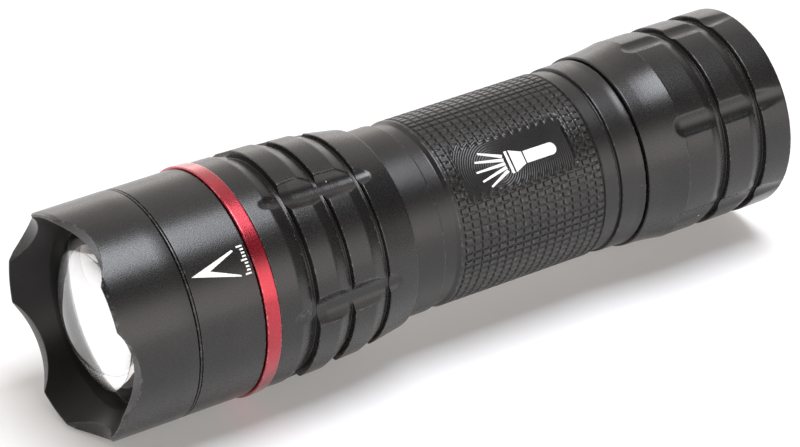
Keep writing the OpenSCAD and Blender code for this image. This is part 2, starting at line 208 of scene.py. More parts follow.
def edgeMark(outline, low=0, bendOver=0.12, closer=0.3):
    # 1 on the rows above the radius `low` where the outline turns a convex corner and both neighbouring
    # rows are close, for worn edges.
    before = outline - np.roll(outline, 1, axis=0)
    after = np.roll(outline, -1, axis=0) - outline
    turn = before[:, 0] * after[:, 1] - before[:, 1] * after[:, 0]
    length = np.hypot(*before.T) * np.hypot(*after.T)
    bend = -turn / np.maximum(length, 1e-9)
    close = (np.hypot(*before.T) < closer) & (np.hypot(*after.T) < closer)
    return np.where((bend > bendOver) & close & (outline[:, 1] > low), 1.0, 0.0)


def dress(piece, body, slotName, material, *nodes):
    # Gives a piece its material and body, and hides the frame nodes it stands for.
    piece.data.materials.clear()
    piece.data.materials.append(material)
    if nodes:
        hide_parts(*nodes)
    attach(piece, body)
    return piece


# Material helpers

class NodeTree:
    # Short ways to add nodes to a tree; each returns the socket that carries its result.
    def __init__(self, tree):
        self.tree = tree

    def add(self, kind, **settings):
        node = self.tree.nodes.new(kind)
        for key, value in settings.items():
            setattr(node, key, value)
        return node

    def link(self, source, target):
        self.tree.links.new(source, target)

    def remap(self, source, low, high, toLow, toHigh, curve="LINEAR"):
        node = self.add("ShaderNodeMapRange", interpolation_type=curve)
        ranges = {"From Min": low, "From Max": high, "To Min": toLow, "To Max": toHigh}
        for socket, value in ranges.items():
            node.inputs[socket].default_value = value
        self.link(source, node.inputs["Value"])
        return node.outputs["Result"]

    def maths(self, operation, a, b=None):
        node = self.add("ShaderNodeMath", operation=operation)
        for socket, value in zip(node.inputs, (a, b)):
            if isinstance(value, (int, float)):
                socket.default_value = value
            elif value is not None:
                self.link(value, socket)
        return node.outputs["Value"]


class Graph(NodeTree):
    # A node material round the Principled shader; `place` is the point in object coordinates.
    def __init__(self, name, **sockets):
        self.material = bpy.data.materials.new(name)
        self.material.use_nodes = True
        super().__init__(self.material.node_tree)
        self.shader = self.tree.nodes["Principled BSDF"]
        self.place = self.add("ShaderNodeTexCoord").outputs["Object"]
        for socket, value in sockets.items():
            self.shader.inputs[socket.replace("_", " ")].default_value = value

    def noise(self, scale, detail=2.0, rough=0.5, stretch=None):
        node = self.add("ShaderNodeTexNoise")
        node.inputs["Scale"].default_value = scale
        node.inputs["Detail"].default_value = detail
        node.inputs["Roughness"].default_value = rough
        vector = self.place
        if stretch:
            mapping = self.add("ShaderNodeMapping")
            mapping.inputs["Scale"].default_value = stretch
            self.link(vector, mapping.inputs["Vector"])
            vector = mapping.outputs["Vector"]
        self.link(vector, node.inputs["Vector"])
        return node.outputs["Fac"]

    def blend(self, factor, a, b):
        node = self.add("ShaderNodeMix", data_type="RGBA")
        for socket, value in ((node.inputs["Factor"], factor), (node.inputs[6], a), (node.inputs[7], b)):
            if isinstance(value, tuple):
                socket.default_value = (*value, 1)
            else:
                self.link(value, socket)
        return node.outputs[2]

    def mark(self, name):
        return self.add("ShaderNodeAttribute", attribute_name=name).outputs["Fac"]

    def bump(self, height, strength, distance, below=None):
        node = self.add("ShaderNodeBump")
        node.inputs["Strength"].default_value = strength
        node.inputs["Distance"].default_value = distance
        self.link(height, node.inputs["Height"])
        if below:
            self.link(below, node.inputs["Normal"])
        return node.outputs["Normal"]

    def specks(self, scale, size, share):
        # 1 inside small round dots, one in `share` of the cells of a Voronoi pattern.
        node = self.add("ShaderNodeTexVoronoi")
        node.inputs["Scale"].default_value = scale
        self.link(self.place, node.inputs["Vector"])
        split = self.add("ShaderNodeSeparateColor")
        self.link(node.outputs["Color"], split.inputs["Color"])
        near = self.maths("LESS_THAN", node.outputs["Distance"], size)
        chosen = self.maths("LESS_THAN", split.outputs["Red"], share)
        return self.maths("MULTIPLY", near, chosen)

    def use(self, socket, source):
        self.link(source, self.shader.inputs[socket])


def anodised(name, look):
    # Blasted and dyed aluminium: grain that sparkles, faint turning lines, cloudy dye, worn edges, dust.
    graph = Graph(name, Metallic=look["metallic"], IOR=look["ior"])
    cloud = graph.noise(look["cloudScale"], 3)
    dye = graph.blend(graph.remap(cloud, 0.35, 0.65, 0, 1), look["dark"], look["light"])
    grain = graph.noise(look["grainScale"], 2, 0.6)
    dye = graph.blend(graph.remap(grain, 0.45, 0.75, 0, look["grainTint"]), dye, look["glint"])
    worn = graph.noise(look["wearScale"], 4, 0.7)
    wear = graph.maths("MULTIPLY", graph.mark("edge"), graph.remap(worn, 0.52, 0.62, 0, look["wear"]))
    specks = graph.specks(look["dustScale"], look["dustSize"], look["dust"])
    dust = graph.maths("MULTIPLY", specks, look["dustCover"])
    dye = graph.blend(wear, dye, look["bare"])
    graph.use("Base Color", graph.blend(dust, dye, look["dustColour"]))
    rough = graph.remap(grain, 0.3, 0.7, look["rough"] - 0.05, look["rough"] + 0.06)
    graph.use("Roughness", graph.maths("ADD", rough, graph.maths("MULTIPLY", dust, look["dustRough"])))
    lines = graph.noise(1, 2, 0.6, stretch=(look["lineScale"], 30, 30))
    first = graph.bump(grain, look["grainBump"], look["grainDepth"])
    graph.use("Normal", graph.bump(lines, look["lineBump"], look["lineDepth"], first))
    return graph


blackLook = {
    "dark": (0.0085, 0.0080, 0.0078), "light": (0.0125, 0.0115, 0.0108), "glint": (0.05, 0.05, 0.055),
    "bare": (0.30, 0.29, 0.28), "metallic": 0.0, "ior": 1.5, "rough": 0.27, "cloudScale": 160,
    "grainScale": 5200, "grainTint": 0.10, "grainBump": 0.3, "grainDepth": 0.00003,
    "lineScale": 9000, "lineBump": 0.05, "lineDepth": 0.00002, "wearScale": 1500, "wear": 0.22,
    "dust": 0.05, "dustScale": 420, "dustSize": 0.055, "dustCover": 0.55, "dustRough": 0.4,
    "dustColour": (0.55, 0.54, 0.52),
}
black = anodised("blackAnodised", blackLook)

gripLook = dict(blackLook, rough=0.31, grainBump=0.3, lineBump=0.03)
gripGraph = anodised("blackAnodisedGrip", gripLook)


def addCutterRings(graph, centre, spacing, strength, depth):
    # Rings left by a fly cutter on the milled flat: a sine wave of the distance from one point.
    vector = graph.add("ShaderNodeVectorMath", operation="DISTANCE")
    graph.link(graph.place, vector.inputs[0])
    vector.inputs[1].default_value = centre
    wave = graph.maths("SINE", graph.maths("MULTIPLY", vector.outputs["Value"], 2 * math.pi / spacing))
    masked = graph.maths("MULTIPLY", wave, graph.mark("flat"))
    below = graph.shader.inputs["Normal"].links[0].from_socket
    graph.use("Normal", graph.bump(masked, strength, depth, below))


redLook = dict(
    blackLook, dark=(0.33, 0.006, 0.018), light=(0.42, 0.010, 0.028), glint=(0.75, 0.10, 0.16),
    bare=(0.85, 0.45, 0.48), metallic=0.85, ior=1.6, rough=0.23, grainTint=0.2, grainBump=0.10,
    lineBump=0.10, wear=0.3, dust=0.04, coat=0.75, coatRough=0.22)
red = anodised("redAnodised", redLook)
red.shader.inputs["Coat Weight"].default_value = redLook["coat"]
red.shader.inputs["Coat Roughness"].default_value = redLook["coatRough"]


def simpleFinish(name, look):
    # A plain finish with cloudy colour, fine grain in its bump and roughness that varies with the grain.
    graph = Graph(name, **look.get("sockets", {}))
    cloud = graph.noise(look.get("cloudScale", 260), 3)
    colour = graph.blend(graph.remap(cloud, 0.35, 0.65, 0, 1), look["dark"], look["light"])
    grain = graph.noise(look.get("grainScale", 4000), 2, 0.6, stretch=look.get("stretch"))
    graph.use("Base Color", colour)
    graph.use("Roughness", graph.remap(grain, 0.3, 0.7, look["rough"] - 0.06, look["rough"] + 0.06))
    graph.use("Normal", graph.bump(grain, look.get("bump", 0.2), 0.00002))
    return graph.material


# grain stretched round the axis, as a lathe leaves it, and along the axis
turned, drawn = {"stretch": (3, 1, 1)}, {"stretch": (1, 3, 3)}
# slot: dark and light colour, roughness, shader sockets, and what differs from simpleFinish's own values
plainFinishes = {
    "ring_grey": ((0.56, 0.56, 0.57), (0.66, 0.66, 0.67), 0.38, {"Metallic": 0.9}, turned),
    "plug_aluminium": ((0.62, 0.62, 0.63), (0.72, 0.72, 0.72), 0.34, {"Metallic": 1.0}, turned),
    "rubber_black": ((0.012, 0.012, 0.012), (0.022, 0.022, 0.022), 0.62, {"IOR": 1.5}, {"bump": 0.45}),
    "spring_steel": ((0.50, 0.50, 0.50), (0.62, 0.62, 0.61), 0.28, {"Metallic": 1.0}, {}),
    "screw_steel": ((0.55, 0.55, 0.56), (0.68, 0.68, 0.68), 0.3, {"Metallic": 1.0}, {}),
    "board_white": ((0.78, 0.78, 0.75), (0.86, 0.86, 0.83), 0.4, {"IOR": 1.5}, {}),
    "emitter_yellow": ((0.80, 0.62, 0.08), (0.93, 0.78, 0.16), 0.25, {"Coat Weight": 0.8}, {}),
    "wire_red": ((0.42, 0.02, 0.02), (0.55, 0.04, 0.03), 0.45, {"IOR": 1.5}, {}),
    "board_green": ((0.01, 0.13, 0.05), (0.02, 0.20, 0.08), 0.32, {"Coat Weight": 0.3}, {}),
    "spring_gold": ((0.72, 0.50, 0.18), (0.85, 0.63, 0.27), 0.25, {"Metallic": 1.0}, {}),
    "plastic_black": ((0.018, 0.018, 0.019), (0.03, 0.03, 0.031), 0.5, {"IOR": 1.5}, {"bump": 0.35}),
    "contact_brass": ((0.68, 0.46, 0.16), (0.80, 0.58, 0.24), 0.3, {"Metallic": 1.0}, {}),
    "contact_nickel": ((0.60, 0.58, 0.54), (0.72, 0.70, 0.66), 0.28, {"Metallic": 1.0}, {}),
    "cell_jacket": ((0.03, 0.06, 0.15), (0.05, 0.09, 0.20), 0.3, {"Coat Weight": 0.5}, drawn),
    "plastic_ivory": ((0.68, 0.64, 0.54), (0.76, 0.72, 0.62), 0.45, {"IOR": 1.5}, {}),
}
finishes = {}
for slot, (dark, light, rough, sockets, others) in plainFinishes.items():
    look = dict(dark=dark, light=light, rough=rough, sockets=sockets, **others)
    finishes[slot] = simpleFinish(slot, look)
print("materials: black and red anodised, %d plain finishes" % len(finishes))


# Strike bezel

bezelShape = {
    "scallops": 5, "first": 2, "cutter": 11, "depth": 2.35, "outer": 17, "tip": 16.75, "bevel": 0.75,
    "coneFoot": (4.75, 13.27), "coneTip": 16.45, "columns": 480, "edge": 0.12,
    "side": [(11.6, 0.1), (9, 0), (6, 0), (3.6, 0)],  # station, edge
    "inside": [(6.2, 12.75, 0.1), (6.2, 13.55, 0.05), (8.65, 13.55, 0.05), (8.65, 14.1, 0.05),
               (16.5, 14.1, 0.1), (16.5, 15.05, 0.1), (16.2, 15.35, 0.1), (11.6, 15.35, 0.05)],
    "share": 0.34,  # how far up the cone its middle row lies
}


def scallopStation(radius, offset, shape):
    # Front of the metal: a cylinder whose axis is radial cuts the tips; 0 where it doesn't reach.
    across = np.minimum((radius * np.sin(offset)) ** 2, shape["cutter"] ** 2)
    return np.maximum(shape["depth"] - shape["cutter"] + np.sqrt(shape["cutter"] ** 2 - across), 0)


def makeBezel(shape):
    # A ring with its own outline in every column. The front follows scallopStation; the cone inside is
    # radius = foot + (foot station - station) x slope.
    angle = evenAngles(shape["columns"])
    offset = nearestOffset(angle, shape["first"], shape["scallops"])
    footStation, footRadius = shape["coneFoot"]
    slope = (shape["coneTip"] - footRadius) / footStation
    outerRadius = np.full_like(angle, shape["outer"])
    innerRadius = np.full_like(angle, shape["coneTip"])
    for repeat in range(6):  # the rim lies where the cutter meets the outer wall and the inner cone
        outerFront = scallopStation(outerRadius, offset, shape)
        bevelShare = np.minimum(outerFront / shape["bevel"], 1)
        outerRadius = shape["tip"] + (shape["outer"] - shape["tip"]) * bevelShare
        innerFront = scallopStation(innerRadius, offset, shape)
        innerRadius = footRadius + (footStation - innerFront) * slope
    full = np.ones_like(angle)

    def corner(station, radius):
        return np.stack([station * full, radius * full], axis=-1)

    shoulder = np.maximum(shape["bevel"], outerFront + 0.12)
    middle = (outerRadius + innerRadius) / 2
    share = shape["share"]
    rows = [(corner(station, shape["outer"]), edge) for station, edge in shape["side"]]
    rows += [
        (corner(shoulder, shape["outer"]), 0.08),
        (corner(outerFront, outerRadius), shape["edge"]),
        (corner(scallopStation(middle, offset, shape), middle), 0),
        (corner(innerFront, innerRadius), shape["edge"]),
        (corner(footStation * (1 - share) + innerFront * share,
                footRadius * (1 - share) + innerRadius * share), 0),
        (corner(footStation, footRadius), 0.06),
    ]
    rows += [(corner(station, radius), edge) for station, radius, edge in shape["inside"]]
    grid = softColumns(np.stack([row[0] for row in rows]), [row[1] for row in rows], 4)
    moved = np.linalg.norm(grid - np.roll(grid, 1, axis=0), axis=-1).max(axis=1)
    grid = grid[moved > tiny]
    nearRim = (np.abs(grid[..., 0] - outerFront) < 0.16) & (np.abs(grid[..., 1] - outerRadius) < 0.3)
    return ringPiece("strikeBezel", grid[..., 0], grid[..., 1], angle[None, :], {"edge": nearRim * 1.0})


# painted shade: the cone inside the bezel gets a darker copy of the black finish, with darker dye and
# weaker reflections, so it reads as lying in shade
paintedShadeLook = dict(blackLook, dark=(0.006, 0.0055, 0.0052), light=(0.009, 0.0082, 0.0078), rough=0.33,
                  wear=0.1, shadeShine=0.2)
inside = anodised("blackAnodisedInsidePaintedShade", paintedShadeLook)
inside.shader.inputs["Specular IOR Level"].default_value = paintedShadeLook["shadeShine"]
bezel = dress(makeBezel(bezelShape), "head", "anodised_black", black.material, "strike_bezel")
bezel.data.materials.append(inside.material)
faceCentre = readValues(bezel.data.polygons, "center", 3)
faceNormal = readValues(bezel.data.polygons, "normal", 3)
# the cone is every face that looks inwards: its normal leans to the axis; these faces take the darker copy
# of the finish, painted shade
toAxis = np.stack([-faceCentre[:, 1], axisZ - faceCentre[:, 2]], axis=-1)
toAxis /= np.linalg.norm(toAxis, axis=1, keepdims=True)
paintedShadeFaces = np.einsum("ij,ij->i", toAxis, faceNormal[:, 1:]) > 0.5
bezel.data.polygons.foreach_set("material_index", paintedShadeFaces.astype(np.int32))
print("bezel done")


# Smooth sleeve, red ring

sleeveShape = [
    [11.75, 15.4], [11.75, 16.8], [11.85, 16.96, 0.03], [12.05, 16.96, 0.03], [12.1, 16.72, 0.03],
    [12.2, 16.72, 0.03], [12.25, 16.96, 0.04], [22.45, 16.94, 0.12], [22.45, 15.6], [29, 15.6],
    [29, 14.75], [16.8, 14.75], [16.8, 15.4],
]
ringShape = [
    [22.57, 15.7], [22.57, 17.2, 0.08], [22.69, 17.3, 0.08], [24.78, 17.22, 0.08], [24.88, 17.12, 0.08],
    [24.88, 15.7],
]


def turnedWall(name, corners, columns, edge, step):
    # A plain turned part: the softened outline swept once round the axis.
    outline = addRows(holdRows(softOutline(corners, edge)), step)
    marks = {"edge": np.repeat(edgeMark(outline, 16)[:, None], columns, axis=1)}
    return ringPiece(name, outline[:, :1], outline[:, 1:], evenAngles(columns)[None, :], marks)


sleeve = turnedWall("headSleeve", sleeveShape, 240, 0.08, 1.2)
dress(sleeve, "head", "anodised_black", black.material, "head_sleeve")
accent = turnedWall("accentRing", ringShape, 240, 0.05, 0.5)
dress(accent, "head", "anodised_red", red.material, "accent_ring")
print("sleeve and red ring done")


# Ribbed collar

collarShape = {
    "outline": [
        [25, 15.65], [25, 16.96], [28.55, 16.96, 0.25], [30.52, 16.32], [30.66, 16.0], [31.34, 16.0],
        [31.4, 17.05], [31.5, 17.12], [34.9, 17.02, 0.25], [36.82, 16.28], [36.94, 15.75], [37.56, 15.75],
        [37.6, 16.6], [37.7, 16.68], [41.25, 16.5, 0.25], [43.12, 15.78], [43.24, 15.3], [43.86, 15.3],
        [43.9, 15.98], [44, 16.05], [49.05, 15.2], [49.25, 15.05], [49.25, 14.55], [49, 14.3],
        [29.1, 14.3], [29.1, 15.65],
    ],
    "flutes": 6, "first": 3,
    "scoopPath": ([28.6, 29.5, 31, 33, 36, 38.5, 41, 42.3, 43.4, 44.2],
                  [16.95, 16.6, 16.3, 16.02, 15.84, 15.72, 15.66, 15.7, 15.9, 16.2]), "scoop": 3.6,
    "groovePath": ([28.2, 29.5, 31, 33, 36, 38.5, 41, 43, 44.5, 45.3],
                   [16.78, 16.4, 16.1, 15.83, 15.66, 15.54, 15.47, 15.46, 15.51, 15.57]), "groove": 2.4,
    "grooveEdge": 0.16, "cutEdge": 0.08, "rowStep": 0.24, "rowSpan": (24, 49.3), "boreBelow": 14.6,
}


def roundCut(station, offset, path, cutter):
    # Surface left by a round cutter whose lowest point follows the path of radii. With the cutter's centre
    # at height h, radius = h cos(offset) - sqrt(cutter squared - (h sin(offset)) squared).
    height = np.interp(station, path[0], path[1]) + cutter
    past = np.clip(path[0][0] - station, 0, None) + np.clip(station - path[0][-1], 0, None)
    reach = np.clip(cutter ** 2 - past ** 2, 0, None)
    room = reach - (height * np.sin(offset)) ** 2
    return np.where(room > 0, height * np.cos(offset) - np.sqrt(np.clip(room, 0, None)), farAway)


def fluteFloor(station, offset, shape):
    # A wide shallow scoop with a narrower groove along its middle, which runs on at both ends.
    scoop = roundCut(station, offset, shape["scoopPath"], shape["scoop"])
    stations = shape["scoopPath"][0]
    scoop = np.where((station < stations[0]) | (station > stations[-1]), farAway, scoop)
    groove = roundCut(station, offset, shape["groovePath"], shape["groove"])
    return softMin(scoop, groove, shape["grooveEdge"]), scoop


def makeCollar(shape):
    # A turned outline swept round the axis; where a flute lies deeper, the radius is the flute's floor.
    # The plain bore keeps only one row in four.
    outline = addRows(holdRows(softOutline(shape["outline"], 0.08)), shape["rowStep"], shape["rowSpan"])
    bore = (outline[:, 1] < shape["boreBelow"]) & (outline[:, 0] < 48)
    outline = outline[~(bore & (np.arange(len(outline)) % 4 > 0))]
    angle = clusteredAngles(shape["first"], shape["flutes"], 10, 35, 18)
    station, radius = outline[:, :1], outline[:, 1:]
    offset = nearestOffset(angle, shape["first"], shape["flutes"])[None, :]
    cut, scoop = fluteFloor(station, offset, shape)
    grid = np.where(radius > 15, softMin(radius + 0 * cut, cut, shape["cutEdge"]), radius + 0 * cut)
    rim = edgeMark(outline, 15.6)[:, None] * (cut > radius)
    lip = (np.abs(scoop - radius) < 0.06) * (radius > 15.9)
    marks = {"edge": np.maximum(rim, lip * 0.9)}
    return ringPiece("ribbedCollar", station, grid, angle[None, :], marks, 50)


dress(makeCollar(collarShape), "head", "anodised_black", black.material, "ribbed_collar")
print("collar done")


# Battery tube: neck, knurled grip, tail thread

tubeShape = {
    "outline": [
        [19, 12.55], [19, 13.95], [19.3, 14.25], [20.15, 14.25], [20.15, 13.65], [21.05, 13.65],
        [21.05, 14.25], [33.85, 14.25], [33.85, 13.35], [35.15, 13.35], [35.15, 14.25],
        [38.35, 14.25], [38.35, 13.35], [39.65, 13.35], [39.65, 14.25], [54.45, 14.25],
        [54.55, 13.8], [56.75, 13.8], [57.35, 14.25], [57.6, 14.25, 0.02], [82.95, 14.25, 0.02],
        [83.05, 14.02], [85.45, 14.0], [85.5, 13.85, 0.04], [85.8, 13.85, 0.04], [85.85, 14.28, 0.05],
        [85.95, 14.35], [88.95, 14.35, 0.3], [89.8, 14.46], [90, 14.46], [90.1, 14.36], [90.1, 13.3],
        [90.9, 13.3], [90.9, 12.35], [92.3, 12.35], [92.3, 13.3], [97.1, 13.3], [97.5, 12.9],
        [97.5, 11.7], [97.2, 11.4], [26.5, 11.4], [26.5, 12.55],
    ],
    "columns": 75, "fine": 5, "neck": 14.25,
    "ringFirst": 57.97, "ringPitch": 1.45, "rings": 18, "cut": 0.26, "flutePitch": 4.8, "fluteCut": 0.17,
    "flatAngle": 47.8, "flatHeight": 13.57, "flatStation": 69.65, "flatHalf": (9.55, 4.8),
    "flatCorner": 1.4,
    "threadSpan": (92.45, 97.0), "threadPitch": 1.5, "threadDepth": 0.42, "threadFade": (0.5, 0.4),
    "grooveHalf": 0.27, "grooveSlope": 0.14, "gripSpan": (57.62, 82.93),
    "fineAngles": (-1.05, -0.5, 0.5, 1.05, 2.4),  # degrees from each lengthwise cut
    "fineRows": (-0.27, -0.13, 0.13, 0.27, 0.72),  # mm from each ring cut
    "flatRows": ((59.95, 61.7), (77.6, 79.35), 12),  # extra rows at both ends of the flat
}


def grooveShape(distance, shape):
    # 1 on the floor of a knurl groove and 0 on the pads, with sloping sides; distance in mm.
    return np.clip((shape["grooveHalf"] - np.abs(distance)) / shape["grooveSlope"], 0, 1)


def ringPhase(station, shape):
    # Signed distance in mm to the nearest ring cut.
    pitch = shape["ringPitch"]
    return (station - shape["ringFirst"] + pitch / 2) % pitch - pitch / 2


def gripRadius(station, angle, shape):
    # Pads between ring cuts and lengthwise cuts, then everything above the milled flat is removed.
    last = shape["ringFirst"] + shape["ringPitch"] * (shape["rings"] - 1)
    within = np.clip((station - shape["ringFirst"] + 0.3) / 0.1, 0, 1)
    within = within * np.clip((last + 0.3 - station) / 0.1, 0, 1)
    turn = np.degrees(angle) % shape["flutePitch"]
    turn = np.minimum(turn, shape["flutePitch"] - turn)
    rings = grooveShape(ringPhase(station, shape), shape) * within
    lengthwise = grooveShape(np.radians(turn) * shape["neck"], shape) * within
    pads = shape["neck"] - np.maximum(shape["cut"] * rings, shape["fluteCut"] * lengthwise)
    offset = (angle - math.radians(shape["flatAngle"]) + math.pi) % (2 * math.pi) - math.pi
    across = shape["neck"] * np.sin(offset)
    halfX, halfV = shape["flatHalf"]
    dx = np.abs(station - shape["flatStation"]) - halfX + shape["flatCorner"]
    dv = np.abs(across) - halfV + shape["flatCorner"]
    outside = np.hypot(np.clip(dx, 0, None), np.clip(dv, 0, None)) + np.minimum(np.maximum(dx, dv), 0)
    reach = 0.4  # the flat lies well within this many radians of its middle
    inside = np.clip((shape["flatCorner"] - outside) / 0.14, 0, 1) * (np.abs(offset) < reach)
    plane = shape["flatHeight"] / np.cos(np.clip(offset, -reach, reach))
    lowered = pads + (np.minimum(plane, pads) - pads) * inside
    return lowered, inside * (plane < pads)


def makeTube(shape):
    # Two meshes in one: a coarse sweep of the outline with a helical thread, whose phase is station over
    # pitch less the share of a turn, and a fine grid for the grip. Rings of triangles join them.
    outline = softOutline(shape["outline"], 0.08, 3)
    following = np.roll(outline, -1, axis=0)
    run = np.where(outline[:, 1] > 14.2, following[:, 0] - outline[:, 0], 0)
    after = int(np.argmax(run)) + 1
    plain = np.roll(outline, -after, axis=0)  # starts behind the grip and ends in front of it
    plain = addRows(holdRows(plain)[:-2], 3.0, closed=False)
    plain = addRows(plain, 0.15, (92.4, 97.1), closed=False)
    coarse = np.radians(np.arange(shape["columns"]) * shape["flutePitch"])
    threadLow, threadHigh = shape["threadSpan"]
    station = plain[:, :1] + 0 * coarse[None, :]
    radius = plain[:, 1:] + 0 * coarse[None, :]
    turn = (station / shape["threadPitch"] - coarse[None, :] / (2 * math.pi)) % 1
    ridge = np.clip(np.abs(turn - 0.5) * 3 - 0.25, 0, 1)
    fadeIn, fadeOut = shape["threadFade"]
    fade = np.clip((station - threadLow) / fadeIn, 0, 1) * np.clip((threadHigh - station) / fadeOut, 0, 1)
    radius = np.where(radius > 13, radius - shape["threadDepth"] * ridge * fade * (radius < 13.4), radius)
    cutAngles = np.arange(shape["columns"])[:, None] * shape["flutePitch"]
    fine = np.radians((cutAngles + np.array(shape["fineAngles"])[None, :]).ravel())
    cuts = shape["ringFirst"] + shape["ringPitch"] * np.arange(shape["rings"])
    rows = (cuts[:, None] + np.array(shape["fineRows"])[None, :]).ravel()
    frontEnd, rearEnd, endRows = shape["flatRows"]
    gripFront, gripRear = shape["gripSpan"]
    ends = np.concatenate([np.linspace(*frontEnd, endRows), np.linspace(*rearEnd, endRows)])
    rows = np.concatenate([[gripFront], rows[rows < gripRear - 0.01], ends, [gripRear]])
    rows = np.unique(np.round(rows, 3))
    rows = rows[np.concatenate([[True], np.diff(rows) > 0.05])]
    grip, flat = gripRadius(rows[:, None], fine[None, :], shape)
    padEdge = (grip > shape["neck"] - 0.02) * (grooveNear(rows, shape)[:, None])
    coarsePoints = onCircle(station, radius, coarse[None, :]).reshape(-1, 3)
    finePoints = onCircle(rows[:, None], grip, fine[None, :]).reshape(-1, 3)
    columns, fineColumns = shape["columns"], shape["columns"] * shape["fine"]
    base = len(coarsePoints)
    faces = [bandFaces(0, len(plain), columns, False), bandFaces(base, len(rows), fineColumns, False)]
    faces += stitchFaces((len(plain) - 1) * columns, base, columns, shape["fine"], True)
    faces += stitchFaces(0, base + (len(rows) - 1) * fineColumns, columns, shape["fine"], False)
    plainEdge = np.repeat(edgeMark(plain, 14)[:, None], columns, axis=1)
    edge = np.concatenate([plainEdge.ravel(), padEdge.ravel()])
    flatMark = np.concatenate([np.zeros(base), flat.ravel()])
    points = np.concatenate([coarsePoints, finePoints])
    return meshObject("batteryTube", points, faces, {"edge": edge, "flat": flatMark}, 38)


def grooveNear(rows, shape):
    # 1 for rows on the rims of the ring cuts, where the dye rubs off first.
    return (np.abs(np.abs(ringPhase(rows, shape)) - shape["grooveHalf"]) < 0.06) * 1.0


def stitchFaces(coarseFirst, fineFirst, columns, share, flip):
    # Joins a ring of `columns` points to one with `share` times as many: per column a fan of triangles
    # from the coarse point and two more that lead on to the next one.
    j = np.arange(columns)
    left, right = coarseFirst + j, coarseFirst + (j + 1) % columns
    total = columns * share

    def fine(k):
        return fineFirst + (j * share + k) % total

    triangles = [np.stack([left, fine(k), fine(k + 1)], axis=-1) for k in range(1, share)]
    triangles.append(np.stack([left, fine(share), right], axis=-1))
    triangles.append(np.stack([right, fine(share), fine(share + 1)], axis=-1))
    group = np.concatenate(triangles)
    return [group[:, ::-1] if flip else group]


tube = makeTube(tubeShape)
flatDirection = math.radians(tubeShape["flatAngle"])
cutterRings = {"station": 66.3, "across": -0.5, "spacing": 0.36, "strength": 0.5, "depth": 0.00003}


def flatPoint(station, across, height):
    # A point `height` mm from the axis over the milled flat and `across` mm up from its middle line.
    y = -height * math.cos(flatDirection) + across * math.sin(flatDirection)
    z = height * math.sin(flatDirection) + across * math.cos(flatDirection)
    return np.stack([station, y, z], axis=-1) * mm + np.array([tipX, 0, axisZ])


ringCentre = flatPoint(np.float64(cutterRings["station"]), np.float64(cutterRings["across"]),
                       tubeShape["flatHeight"])
addCutterRings(gripGraph, ringCentre, cutterRings["spacing"] * mm, cutterRings["strength"],
               cutterRings["depth"])
dress(tube, "tube", "anodised_black", gripGraph.material, "body_tube")
print("battery tube done")


# Tail cap

capShape = {
    "outline": [
        [90.4, 13.65], [90.4, 14.72], [90.52, 14.84], [91.6, 14.87, 0.3], [92.7, 14.91, 0.3],
        [93.8, 15, 0.3], [94.9, 15.12, 0.3], [95.9, 15.25, 0.3], [96.7, 15.37, 0.2], [97.35, 15.48],
        [97.45, 15.45], [102.35, 15.45, 0.3], [103.75, 14.98], [103.8, 14.6], [104.8, 14.6],
        [104.8, 15.42], [104.9, 15.5], [109.25, 15.48, 0.25], [110.6, 15.05], [110.65, 14.65],
        [111.6, 14.65], [111.6, 15.45], [111.7, 15.53], [116.25, 15.48, 0.15], [116.5, 15.23, 0.1],
        [116.5, 11.2], [113.6, 7.9], [110, 7.9], [110, 12.2], [98, 12.2], [98, 13.4], [90.7, 13.4],
    ],
    "slots": 6, "first": 32.8, "ball": 3.4,
    "slotPath": ([97.6, 110.6, 116.4, 120], [15, 15, 15.42, 15.42]),  # it runs out before the rear edge
}


def makeCap(shape):
    # A turned outline swept round the axis, with slots left by a ball cutter as in roundCut.
    outline = addRows(holdRows(softOutline(shape["outline"], 0.08)), 0.3, (95.5, 100))
    outline = addRows(outline, 1.0, (100, 116.3))
    angle = clusteredAngles(shape["first"], shape["slots"], 8.2, 29, 20)
    offset = nearestOffset(angle, shape["first"], shape["slots"])[None, :]
    station, radius = outline[:, :1], outline[:, 1:]
    cut = roundCut(station, offset, shape["slotPath"], shape["ball"])
    # the tiny lean keeps rows of a steep wall apart where the slot cuts through it
    lean = 0.01 * np.clip(radius - cut, 0, 1)
    grid = np.where(radius > 13.5, softMin(radius + 0 * cut, cut, 0.16) + lean, radius + 0 * cut)
    edge = edgeMark(outline, 14.9)[:, None] * (cut > radius)
    return ringPiece("tailCap", station, grid, angle[None, :], {"edge": edge}, 50)


dress(makeCap(capShape), "tail", "anodised_black", black.material, "tail_cap")
print("tail cap done")


# Lens

lensShape = {"domeFoot": 12.7, "domeHeight": 5.0, "front": 6.35, "back": 8.6, "rim": 12.98, "step": 12.4,
             "columns": 144}


def makeLens(shape):
    # The dome is a cap of a sphere: station = apex + sphere - sqrt(sphere squared - radius squared).
    foot, height = shape["domeFoot"], shape["domeHeight"]
    sphere = (foot ** 2 + height ** 2) / (2 * height)
    radius = np.linspace(0, foot, 48)
    station = shape["front"] - height + sphere - np.sqrt(sphere ** 2 - radius ** 2)
    dome = np.column_stack([station, radius])
    front, back, side = shape["front"], shape["back"], shape["rim"]
    rim = softOutline([[front, shape["step"], 0], [front, side, 0.08], [back, side, 0.12], [back, 0, 0]])
    flat = np.column_stack([np.full(12, back), np.linspace(12.5, 0, 12)])
    outline = np.concatenate([dome, rim[rim[:, 1] > 12.75], flat])
    return polePiece("zoomLens", outline, evenAngles(shape["columns"]), 30)


lensLook = {"ior": 1.49, "dark": (0.93, 0.945, 0.95), "light": (0.95, 0.96, 0.965), "smear": 0.008}
lensGraph = Graph("clearLens", IOR=lensLook["ior"], Transmission_Weight=1.0)
lensGraph.use("Base Color", lensGraph.blend(lensGraph.noise(90, 2), lensLook["dark"], lensLook["light"]))
lensSmear = lensGraph.noise(700, 3, 0.6)
lensGraph.use("Roughness", lensGraph.remap(lensSmear, 0.5, 0.8, 0.0, lensLook["smear"]))
dress(makeLens(lensShape), "head", "lens_clear", lensGraph.material, "lens")
print("lens done")


# Rubber tail button

